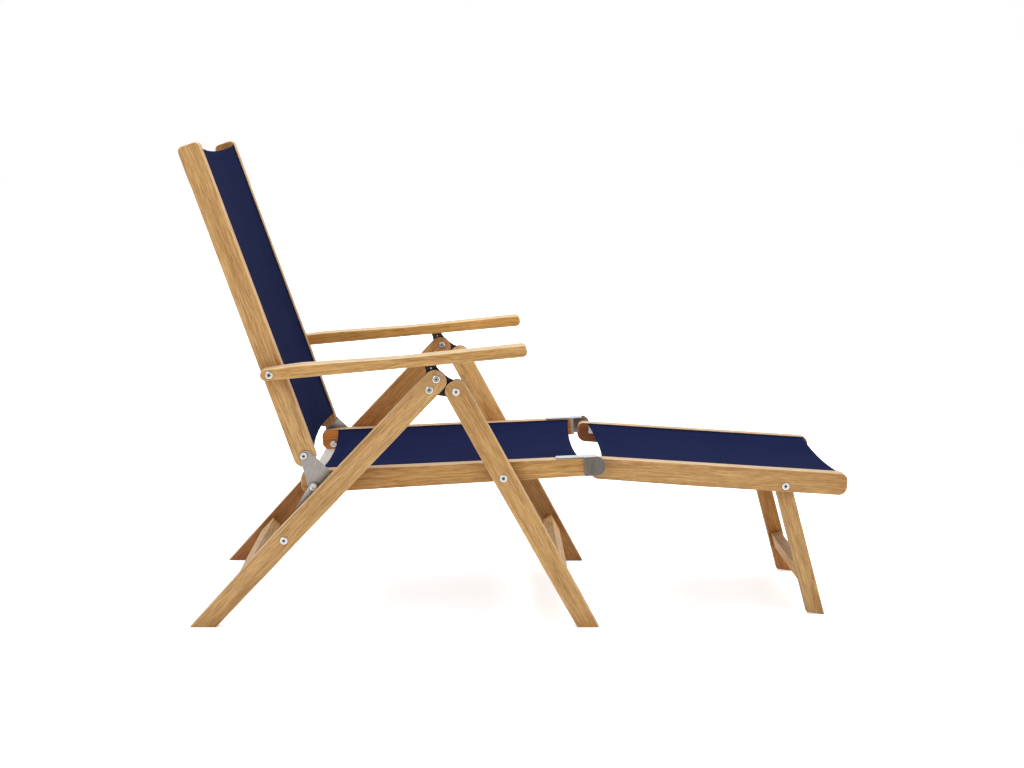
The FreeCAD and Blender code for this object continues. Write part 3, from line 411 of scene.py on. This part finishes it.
def weave(name, lean):
    """Plain-woven coated yarn: over-and-under threads, slightly uneven, with a soft sheen."""
    material, net, shader = new_material(name)
    coords = member_coords(net, lean)
    # shift the threads by up to a fraction of a millimetre
    wobble = net.noise(coords, scale=60.0, detail=2.0, output="Color")
    wobble = net.vector("ADD", wobble, (-0.5, -0.5, -0.5))
    wobble = net.vector("MULTIPLY", wobble, (0.0005, 0.0005, 0.0))
    x, y, z = net.split(net.vector("ADD", coords, wobble))
    along = net.times(x, math.pi / THREAD_PITCH)
    side = net.times(y, math.pi / THREAD_PITCH)
    warp = net.math("ABSOLUTE", net.math("SINE", side))
    weft = net.math("ABSOLUTE", net.math("SINE", along))
    over = net.times(net.math("SINE", net.plus(along, math.pi / 2)),
                     net.math("SINE", net.plus(side, math.pi / 2)))
    thread = net.add("ShaderNodeMix", {
        0: net.remap(over, span=(-0.25, 0.25)), 2: warp, 3: weft}, data_type="FLOAT").outputs[0]
    cloud = net.noise(coords, stretch=(9.0, 14.0, 9.0), detail=4.0, rough=0.55)
    fleck = net.noise(coords, stretch=(420.0, 420.0, 420.0), detail=2.0, rough=0.6)
    base = net.mix(net.remap(cloud, span=(0.3, 0.7)),
                   (0.0044, 0.0078, 0.0375), (0.0058, 0.0096, 0.0440))
    base = net.stain(base, net.remap(fleck, span=(0.55, 0.8)), amount=0.30,
                     colour=(0.0115, 0.017, 0.058))
    # the gaps between threads are darker
    gap = net.remap(thread, span=(0.0, 0.35), to=(0.45, 1.0))
    net.feed(shader, {
        "Base Color": net.multiply(base, net.grey(gap)),
        "Roughness": net.plus(net.times(fleck, 0.20), 0.72),
        "Specular IOR Level": 0.018, "Sheen Weight": 0.004, "Sheen Roughness": 0.5,
        "Sheen Tint": (0.25, 0.30, 0.55, 1.0)})
    net.bump(shader, thread, strength=0.45, distance=0.0003)
    return material


def thread_material():
    """Twisted polyester sewing thread."""
    material, net, shader = new_material("navy_thread")
    twist = net.noise(net.place(), stretch=(2600.0, 2600.0, 900.0), detail=2.0, rough=0.5)
    net.feed(shader, {
        "Base Color": net.mix(net.remap(twist, span=(0.35, 0.7)),
                              (0.0056, 0.0088, 0.0370), (0.0080, 0.0120, 0.0490)),
        "Roughness": net.plus(net.times(twist, 0.3), 0.62),
        "Specular IOR Level": 0.03})
    net.bump(shader, twist, strength=0.5, distance=0.0002)
    return material


def cord_material():
    """Extruded keder cord, dark and slightly scuffed."""
    material, net, shader = new_material("keder_cord")
    cloud = net.noise(net.place(), scale=240.0, detail=4.0, rough=0.6)
    net.feed(shader, {
        "Base Color": net.mix(net.remap(cloud, span=(0.35, 0.7)),
                              (0.020, 0.021, 0.030), (0.050, 0.052, 0.070)),
        "Roughness": net.plus(net.times(cloud, 0.3), 0.45)})
    net.bump(shader, cloud, strength=0.3, distance=0.0002)
    return material


# ------------------------------------------------------------------ dressing the loaded pieces
def dress(node, material):
    mesh = NODES[node].data
    mesh.materials.clear()
    mesh.materials.append(material)
    for face in mesh.polygons:
        face.material_index = 0


BOARDS = [
    # node, member, tint (for some boards holding painted light), painted light and shade of the
    # faces turned to the middle (None: the board runs across)
    ("rear_leg_left", REAR, (0.98, 0.94, 0.84), (1.27, 1.00, 0.79)),
    ("rear_leg_right", REAR, (1.0, 0.96, 0.88), (1.27, 1.00, 0.79)),
    ("rear_leg_stretcher", REAR, (1.0, 0.97, 0.88), None),
    ("front_leg_left", FRONT, (0.98, 0.93, 0.82), (1.76, 1.70, 1.64)),
    ("front_leg_right", FRONT, (0.98, 0.92, 0.79), (1.62, 1.58, 1.52)),
    # painted light: this tint brightens the stretcher as if lit from the front
    ("front_leg_stretcher", FRONT, (1.54, 1.38, 0.98), None),
    ("seat_rail_left", SEAT, (0.95, 0.84, 0.61), (1.30, 0.86, 0.42)),
    ("seat_rail_right", SEAT, (0.95, 0.84, 0.61), (1.38, 0.97, 0.52)),
    ("seat_rear_crossbar", SEAT, (0.96, 0.95, 0.92), None),
    ("seat_front_crossbar", SEAT, (0.98, 0.97, 0.94), None),
    ("back_stile_left", BACK, (1.02, 0.98, 0.90), (0.68, 0.56, 0.47)),
    ("back_stile_right", BACK, (1.06, 1.02, 0.92), (0.68, 0.56, 0.47)),
    ("back_lower_crossbar", BACK, (0.97, 0.96, 0.93), None),
    ("back_top_crossbar", BACK, (0.99, 0.98, 0.95), None),
    ("armrest_left", ARM, (1.12, 1.08, 0.92), (1.21, 1.03, 0.72)),
    ("armrest_right", ARM, (1.13, 1.09, 0.92), (1.21, 1.03, 0.72)),
    ("footrest_rail_left", FOOT, (0.94, 0.87, 0.74), (0.53, 0.28, 0.15)),
    ("footrest_rail_right", FOOT, (0.94, 0.87, 0.74), (0.53, 0.28, 0.15)),
    ("footrest_rear_crossbar", FOOT, (0.97, 0.95, 0.92), None),
    ("footrest_front_crossbar", FOOT, (0.98, 0.97, 0.94), None),
    ("footrest_leg_left", LEG, (1.02, 1.01, 0.96), (1.74, 1.44, 0.95)),
    ("footrest_leg_right", LEG, (1.03, 1.02, 0.96), (1.62, 1.30, 0.88)),
    # painted light: this tint brightens the stretcher as if lit from the front
    ("footrest_leg_stretcher", LEG, (1.60, 1.42, 1.02), None),
]
SEED_STEP = 0.83  # gives each board its own stretch of grain
for number, (node, member, tone_and_painted_light, painted_inner_light) in enumerate(BOARDS):
    painted_top_tone = ARM_PAINTED_TOP_TONE if node.startswith("armrest") else PAINTED_TOP_TONE
    dress(node, teak(node, member.lean, 1.0 + number * SEED_STEP, tone_and_painted_light, painted_inner_light, painted_top_tone))


def on_member(member, along, up):
    """The (x, z) of a point given along a member and square to it."""
    lean = math.radians(member.lean)
    return (member.x + along * math.cos(lean) - up * math.sin(lean),
            member.z + along * math.sin(lean) + up * math.cos(lean))


TURNED_HEADS = [
    # node, axes (x, z) of the heads, brightness of the painted shade on the sunk ring, socket
    # wall and socket floor
    ("bracket_screws", [on_member(REAR, 0.4940, 0.0018), on_member(REAR, 0.4663, -0.0032)],
     0.14, 0.55, 0.10),
    ("link_foot_bolts", [REAR[:2]], 0.60, 0.40, 0.05),
    ("front_leg_pivot_bolts", [FRONT[:2]], 0.80, 0.85, 0.10),
    ("seat_pivot_bolts", [SEAT_PIVOT], 0.45, 0.35, 0.05),
    ("link_head_bolts", [SEAT[:2]], 0.55, 0.90, 0.75),
    ("back_pivot_bolts", [BACK[:2]], 0.60, 0.60, 0.05),
    ("arm_pivot_bolts", [ARM[:2]], 0.60, 0.45, 0.05),
    ("footrest_leg_bolts", [LEG[:2]], 0.60, 0.30, 0.04),
]
for node, *turned in TURNED_HEADS:
    dress(node, metal("turned_steel_" + node, lean=0.0, colour=(0.84, 0.83, 0.81),
                      worn_and_top_lit_colour=(0.96, 0.95, 0.93), rough=0.28, brushed=0.2, painted_shade_reach=0.003,
                      painted_shade_depth=0.30, bevel=0.0004, turned=turned))

BRIGHT = (0.92, 0.91, 0.89)  # rubbed steel
FITTINGS = [
    # material, nodes that wear it
    # painted light and shade: the same steel and bronze parts get darker copies on the near
    # right side and paler copies on the far left side
    (metal("brushed_steel_near_plate_painted_shade", lean=SEAT.lean + 60, colour=(0.355, 0.320, 0.292),
           worn_and_top_lit_colour=BRIGHT, rough=0.36, bevel=0.0011),
     ["hinge_plate_right"]),
    (metal("brushed_steel_near_link_painted_shade", lean=LINK.lean, colour=(0.55, 0.53, 0.51),
           worn_and_top_lit_colour=BRIGHT, rough=0.34, bevel=0.0011),
     ["link_bar_right"]),
    (metal("brushed_steel_far_painted_light", lean=SEAT.lean, colour=(0.78, 0.74, 0.73),
           worn_and_top_lit_colour=BRIGHT, rough=0.38),
     ["hinge_plate_left", "footrest_hinge_leaf_left", "footrest_hinge_leaf_right",
      "link_bar_left"]),
    (metal("brushed_steel_footrest", lean=FOOT.lean + 90, colour=(0.148, 0.126, 0.104),
           worn_and_top_lit_colour=(0.56, 0.56, 0.57), rough=0.42, bevel=0.0013, top=0.9),
     ["footrest_bracket_right", "footrest_hinge_sleeves"]),
    (metal("brushed_steel_footrest_far_painted_light", lean=FOOT.lean + 90, colour=(0.50, 0.46, 0.42),
           worn_and_top_lit_colour=(0.60, 0.60, 0.61), rough=0.42, bevel=0.0013, top=0.9),
     ["footrest_bracket_left"]),
    (metal("plain_steel", lean=0.0, colour=(0.62, 0.61, 0.59), worn_and_top_lit_colour=BRIGHT,
           rough=0.30, brushed=0.25, painted_shade_reach=0.004, painted_shade_depth=0.10),
     ["arm_stop_pins", "link_foot_spacers", "seat_pivot_spacers", "hinge_plate_screws",
      "footrest_hinge_pins", "footrest_leg_spacers"]),
    (metal("bronze_near_painted_shade", lean=REAR.lean, colour=(0.060, 0.050, 0.042),
           worn_and_top_lit_colour=(0.22, 0.19, 0.15), rough=0.46, brushed=0.5, metallic=0.85),
     ["arm_bracket_right"]),
    (metal("bronze_far_painted_light", lean=REAR.lean, colour=(0.190, 0.115, 0.072),
           worn_and_top_lit_colour=(0.36, 0.25, 0.17), rough=0.46, brushed=0.5, metallic=0.6),
     ["arm_bracket_left"]),
    (cord_material(), ["seat_sling_cords", "back_sling_cords", "footrest_sling_cords"]),
]
for material, nodes in FITTINGS:
    for node in nodes:
        dress(node, material)


# ------------------------------------------------------------------ slings
SAG = 0.0088  # depth of the belly between the rails
CLOTH_ROWS, CLOTH_COLUMNS = 46, 40
LAST_FRAME, CACHE_END = 36, 40
MAX_SETTLE = 0.02
CLOTH_SETTINGS = {
    "vertex_group_mass": "pins", "quality": 8, "mass": 0.0025,
    "tension_stiffness": 60.0, "compression_stiffness": 20.0, "shear_stiffness": 12.0,
    "bending_stiffness": 1.5, "tension_damping": 15.0, "compression_damping": 15.0,
    "shear_damping": 10.0, "air_damping": 2.0,
}
SINGLE, DOUBLE = 0.0011, 0.0022  # thickness of the cloth and of the folded hem
HEM_FULL, HEM_END = 0.0201, 0.0220  # the hem thins out between these distances from the end
DIMPLE_ROWS = (0.008, 0.0195)
DIMPLE_DEPTH, DIMPLE_WIDTH = 0.00014, 0.0016
# distances from each end of the rows of points about a hem
HEM_STATIONS = np.array(
    [0.0, 0.0009, 0.0022, 0.008, 0.014, 0.0195, 0.0212, 0.0226, 0.026, 0.034])
STITCH_ROWS = (0.0085, 0.0190)
STITCH_PITCH = 0.0046
STITCH_REACH = 0.965  # part of the half width that is stitched
STITCH_LIFT = 0.00108  # from the middle of the cloth
STITCH_LENGTH, STITCH_WIDTH, STITCH_HEIGHT = 0.0034, 0.0007, 0.0005

# start and end are along the member, rise square to it; half is half the width; belly is the
# sign of the sag; tilt is in degrees; scoops are how far each end is hollowed at the middle
Sling = namedtuple("Sling", "node body member start end rise half belly tilt scoops")
SEAT_START, SEAT_TILT = 0.015, -1.01
SLINGS = [
    Sling("seat_sling", "seat_frame", SEAT, SEAT_START, 0.594,
          0.033 - SEAT_START * math.tan(math.radians(SEAT_TILT)), 0.2302, -1, SEAT_TILT,
          (0.008, 0.008)),
    Sling("back_sling", "back_frame", BACK, 0.001, 0.706, -0.0205, 0.2302, 1, 0.0,
          (0.0065, 0.008)),
    Sling("footrest_sling", "footrest_frame", FOOT, 0.016, 0.5595, 0.011, 0.2047, -1, 0.0,
          (0.0095, 0.0005)),
]


def new_mesh(name, points, faces):
    mesh = bpy.data.meshes.new(name)
    mesh.from_pydata(np.reshape(points, (-1, 3)).tolist(), [], faces)
    return mesh


def grid_quads(index):
    """Quads over a grid of point numbers."""
    rows, columns = index.shape
    index = index.tolist()
    return [(index[i][j], index[i + 1][j], index[i + 1][j + 1], index[i][j + 1])
            for i in range(rows - 1) for j in range(columns - 1)]


def settle(name, rest):
    """How far each point moves when the panel, pinned along both rails, hangs as cloth."""
    index = np.arange(CLOTH_ROWS * CLOTH_COLUMNS).reshape(CLOTH_ROWS, CLOTH_COLUMNS)
    mesh = new_mesh(name + "_cloth", rest, grid_quads(index))
    sheet = bpy.data.objects.new(name + "_cloth", mesh)
    scene = bpy.context.scene
    scene.collection.objects.link(sheet)
    pins = sheet.vertex_groups.new(name="pins")
    pins.add(index[:, 0].tolist() + index[:, -1].tolist(), 1.0, "REPLACE")
    cloth = sheet.modifiers.new("cloth", "CLOTH")
    for key, value in CLOTH_SETTINGS.items():
        setattr(cloth.settings, key, value)
    cloth.point_cache.frame_start = 1
    cloth.point_cache.frame_end = CACHE_END
    for number in range(1, LAST_FRAME + 1):
        scene.frame_set(number)
    settled = sheet.evaluated_get(bpy.context.evaluated_depsgraph_get())
    points = np.zeros(rest.size, np.float32)
    settled.data.vertices.foreach_get("co", points)
    moved = points.reshape(rest.shape).astype(float) - rest
    # a simulation that has run away is dropped
    reach = np.abs(moved).max()
    if not np.isfinite(reach) or reach > MAX_SETTLE:
        moved = np.zeros_like(rest)
    scene.frame_set(1)
    bpy.data.objects.remove(sheet)
    bpy.data.meshes.remove(mesh)
    return moved


def axes_at(degrees):
    """Unit vectors along a lean in the XZ plane and square to it."""
    lean = math.radians(degrees)
    return (np.array([math.cos(lean), 0.0, math.sin(lean)]),
            np.array([-math.sin(lean), 0.0, math.cos(lean)]))


def hang(sling):
    """The settled middle surface of a sling, as a function, and the direction square to it.

    t runs from 0 to 1 along the rails and s from -1 to 1 across."""
    member = sling.member
    origin = np.array([member.x, 0.0, member.z]) + axes_at(member.lean)[1] * sling.rise
    along, up = axes_at(member.lean + sling.tilt)
    across = np.array([0.0, 1.0, 0.0])

    def surface(t, s):
        bulge = 1.0 - s * s
        low = sling.start + sling.scoops[0] * bulge
        high = sling.end - sling.scoops[1] * bulge
        distance = low + (high - low) * t
        return (origin + along * distance[..., None] + across * (sling.half * s)[..., None]
                + up * (sling.belly * SAG * bulge)[..., None])

    t, s = np.meshgrid(np.linspace(0, 1, CLOTH_ROWS), np.linspace(-1, 1, CLOTH_COLUMNS),
                       indexing="ij")
    moved = settle(sling.node, surface(t, s))

    def settled_at(t, s):
        """The surface with the settling blended in between the cloth's points."""
        row, column = t * (CLOTH_ROWS - 1), (s + 1) / 2 * (CLOTH_COLUMNS - 1)
        i = np.clip(np.floor(row).astype(int), 0, CLOTH_ROWS - 2)
        j = np.clip(np.floor(column).astype(int), 0, CLOTH_COLUMNS - 2)
        down, over = (row - i)[..., None], (column - j)[..., None]
        return surface(t, s) + (
            (1 - down) * (1 - over) * moved[i, j] + down * (1 - over) * moved[i + 1, j]
            + (1 - down) * over * moved[i, j + 1] + down * over * moved[i + 1, j + 1])

    return settled_at, up


def unit(vectors):
    return vectors / np.linalg.norm(vectors, axis=-1, keepdims=True)


def facing(normals, up):
    return -normals if (normals @ up).mean() < 0 else normals


def smooth_object(name, mesh):
    work = bmesh.new()
    work.from_mesh(mesh)
    bmesh.ops.recalc_face_normals(work, faces=work.faces[:])
    work.to_mesh(mesh)
    work.free()
    for face in mesh.polygons:
        face.use_smooth = True
    mesh.set_sharp_from_angle(angle=math.radians(50))
    item = bpy.data.objects.new(name, mesh)
    bpy.context.scene.collection.objects.link(item)
    return item


def closed_sheet(name, grid, thick, up):
    """A sheet with its own thickness at each point, closed all the way round."""
    slopes = np.cross(np.gradient(grid, axis=0), np.gradient(grid, axis=1))
    offset = facing(unit(slopes), up) * (thick / 2)[..., None]
    index = np.arange(thick.size).reshape(thick.shape)
    shift = thick.size
    faces = []
    for a, b, c, d in grid_quads(index):
        faces.append((a, b, c, d))
        faces.append((d + shift, c + shift, b + shift, a + shift))
    rim = np.concatenate(
        [index[0, :], index[1:, -1], index[-1, -2::-1], index[-2:0:-1, 0]]).tolist()
    for a, b in zip(rim, rim[1:] + rim[:1]):
        faces.append((a, b, b + shift, a + shift))
    return smooth_object(name, new_mesh(name, [grid + offset, grid - offset], faces))


def sling_sheet(sling, cloth_at, up):
    """The cloth panel with a folded hem at each end."""
    length = sling.end - sling.start
    ends = HEM_STATIONS / length
    t = np.concatenate(
        [ends, np.linspace(ends[-1], 1 - ends[-1], 52)[1:-1], (1 - ends)[::-1]])
    # columns draw closer together towards the rails
    s = (np.sin(np.linspace(-math.pi / 2, math.pi / 2, 57)) * 0.35
         + np.linspace(-1, 1, 57) * 0.65)
    t, s = np.meshgrid(t, s, indexing="ij")
    edge = np.minimum(t, 1 - t) * length
    thinning = DOUBLE + (SINGLE - DOUBLE) * (edge - HEM_FULL) / (HEM_END - HEM_FULL)
    thick = np.where(edge < HEM_FULL, DOUBLE, np.where(edge > HEM_END, SINGLE, thinning))
    # the fold is rounded at the very end
    thick = thick * np.where(edge < 0.0005, 0.55, np.where(edge < 0.0015, 0.85, 1.0))
    # two shallow dimples where the stitch rows pull the hem down
    for row in DIMPLE_ROWS:
        thick = thick - DIMPLE_DEPTH * np.exp(-((edge - row) / DIMPLE_WIDTH) ** 2)
    return closed_sheet(sling.node + "_cloth", cloth_at(t, s), thick, up)


def stitch_runs(sling, cloth_at, up):
    """Centre, direction and normal of each stitch, on both faces of both hems."""
    length = sling.end - sling.start
    step = 0.002  # in t or s, for taking directions
    count = int(2 * sling.half * STITCH_REACH / STITCH_PITCH)
    s = np.linspace(-STITCH_REACH, STITCH_REACH, count)
    runs = []
    for end, sign in ((0.0, 1), (1.0, -1)):
        for row in STITCH_ROWS:
            t = end + sign * row / length
            here = cloth_at(np.full_like(s, t), s)
            ways = unit(cloth_at(np.full_like(s, t), s + step) - here)
            along = cloth_at(np.full_like(s, t + step), s) - here
            normals = facing(unit(np.cross(along, ways)), up)
            for point, way, normal in zip(here, ways, normals):
                runs.append((point + normal * STITCH_LIFT, way, normal))
                runs.append((point - normal * STITCH_LIFT, way, -normal))
    return runs


def stitches(name, runs):
    """Sewn stitches: each a short rounded lozenge lying on the cloth."""
    sides = 6
    rings = ((-0.32, 0.8), (0.0, 1.0), (0.32, 0.8))  # place along the stitch, fatness
    points, faces = [], []
    for centre, way, up in runs:
        side = np.cross(up, way)
        tip = len(points)
        points.append(centre - way * STITCH_LENGTH / 2)
        for where, fat in rings:
            for k in range(sides):
                angle = 2 * math.pi * k / sides
                points.append(centre + way * where * STITCH_LENGTH
                              + side * math.cos(angle) * STITCH_WIDTH / 2 * fat
                              + up * math.sin(angle) * STITCH_HEIGHT / 2 * fat)
        points.append(centre + way * STITCH_LENGTH / 2)
        first, last_ring, last = tip + 1, tip + 1 + 2 * sides, len(points) - 1
        for k in range(sides):
            m = (k + 1) % sides
            faces.append((tip, first + m, first + k))
            for ring in (first, first + sides):
                faces.append((ring + k, ring + m, ring + m + sides, ring + k + sides))
            faces.append((last_ring + k, last_ring + m, last))
    return smooth_object(name, new_mesh(name, points, faces))


def fit(item, material, body):
    item.data.materials.append(material)
    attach(item, body)


thread = thread_material()
for sling in SLINGS:
    cloth_at, up = hang(sling)
    sheet = sling_sheet(sling, cloth_at, up)
    fit(sheet, weave(sling.node + "_weave", sling.member.lean + sling.tilt), sling.body)
    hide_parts(sling.node)
    seam = stitches(sling.node + "_stitches", stitch_runs(sling, cloth_at, up))
    fit(seam, thread, sling.body)


# ------------------------------------------------------------------ studio
def studio_floor():
    bpy.ops.mesh.primitive_plane_add(size=60.0, location=(0, 0, 0))
    plane = bpy.context.object
    plane.name = "studio_floor"
    material, net, shader = new_material("pale_floor")
    place = net.place()
    cloud = net.noise(place, scale=1.4, detail=3.0, rough=0.5)
    # the floor glows up to white away from the chair, and hardly lights anything else
    reach = net.vector("LENGTH", place, output="Value")
    seen = net.add("ShaderNodeLightPath").outputs["Is Camera Ray"]
    glow = net.remap(reach, span=(0.6, 3.2), to=(0.55, 1.0))
    net.feed(shader, {
        "Base Color": net.mix(net.remap(cloud, span=(0.3, 0.7)),
                              (0.92, 0.92, 0.92), (0.945, 0.945, 0.945)),
        "Roughness": 0.85, "Specular IOR Level": 0.1,
        "Emission Strength": net.times(glow, net.math("MAXIMUM", seen, 0.06)),
        "Emission Color": (1.0, 1.0, 1.0, 1.0)})
    plane.data.materials.append(material)
    plane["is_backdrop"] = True


def studio_air():
    """White to the camera; as light, dim towards -Y and brighter towards +Y and overhead."""
    world = bpy.data.worlds.new("studio_air")
    world.use_nodes = True
    world.node_tree.nodes.clear()
    net = Net(world.node_tree)
    x, y, z = net.split(net.add("ShaderNodeTexCoord").outputs["Generated"])
    level = net.plus(net.remap(y, span=(-0.9, -0.3), to=(0.15, 0.46)),
                     net.remap(y, span=(0.30, 0.90), to=(0.0, 0.50)))
    level = net.plus(level, net.remap(z, span=(0.05, 0.9), to=(0.0, 0.40)))
    lit, seen = (
        net.add("ShaderNodeBackground", {"Color": (1, 1, 1, 1), "Strength": strength}).outputs[0]
        for strength in (level, 1.0))
    camera_ray = net.add("ShaderNodeLightPath").outputs["Is Camera Ray"]
    blend = net.add("ShaderNodeMixShader", {0: camera_ray, 1: lit, 2: seen})
    net.add("ShaderNodeOutputWorld", {0: blend.outputs[0]})
    bpy.context.scene.world = world


def lamp(name, place, aim, size, power, colour=(1, 1, 1)):
    data = bpy.data.lights.new(name, "AREA")
    data.shape = "RECTANGLE"
    data.size, data.size_y = size
    data.energy = power
    data.color = colour
    item = bpy.data.objects.new(name, data)
    item.location = place
    item.rotation_euler = (Vector(aim) - Vector(place)).to_track_quat("-Z", "Y").to_euler()
    bpy.context.scene.collection.objects.link(item)


def studio_camera(place, yaw, pitch, roll):
    """A camera looking along +Y, turned by yaw towards +X, pitched down and rolled (radians)."""
    ahead = Vector((math.sin(yaw) * math.cos(pitch), math.cos(yaw) * math.cos(pitch),
                    -math.sin(pitch)))
    level = Vector((math.cos(yaw), -math.sin(yaw), 0.0))
    upright = level.cross(ahead)
    right = math.cos(roll) * level + math.sin(roll) * upright
    above = -math.sin(roll) * level + math.cos(roll) * upright
    camera = bpy.data.objects.new("camera", bpy.data.cameras.new("camera"))
    camera.data.lens = 54.49
    camera.data.sensor_width = 36.0
    camera.data.sensor_fit = "HORIZONTAL"
    camera.data.clip_end = 200.0
    rows = list(zip(right, above, -ahead, place))
    camera.matrix_world = Matrix((*rows, (0.0, 0.0, 0.0, 1.0)))
    bpy.context.scene.collection.objects.link(camera)
    bpy.context.scene.camera = camera


studio_floor()
studio_air()
lamp("overhead", place=(0.0, 0.1, 3.2), aim=(0.0, 0.0, 0.3), size=(3.4, 2.6), power=104.0)
lamp("key", place=(-2.6, -3.0, 2.4), aim=(0.0, 0.0, 0.4), size=(2.2, 2.2), power=30.0,
     colour=(1.0, 0.985, 0.96))
lamp("fill", place=(2.6, -3.2, 1.5), aim=(0.2, 0.0, 0.4), size=(2.4, 2.0), power=20.0,
     colour=(0.985, 0.99, 1.0))
studio_camera(place=(-0.1016, -3.61973, 1.08786), yaw=0.02398, pitch=0.15955, roll=0.00753)
bpy.context.scene.view_settings.view_transform = "Standard"

sizes["finished"] = plain(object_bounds())
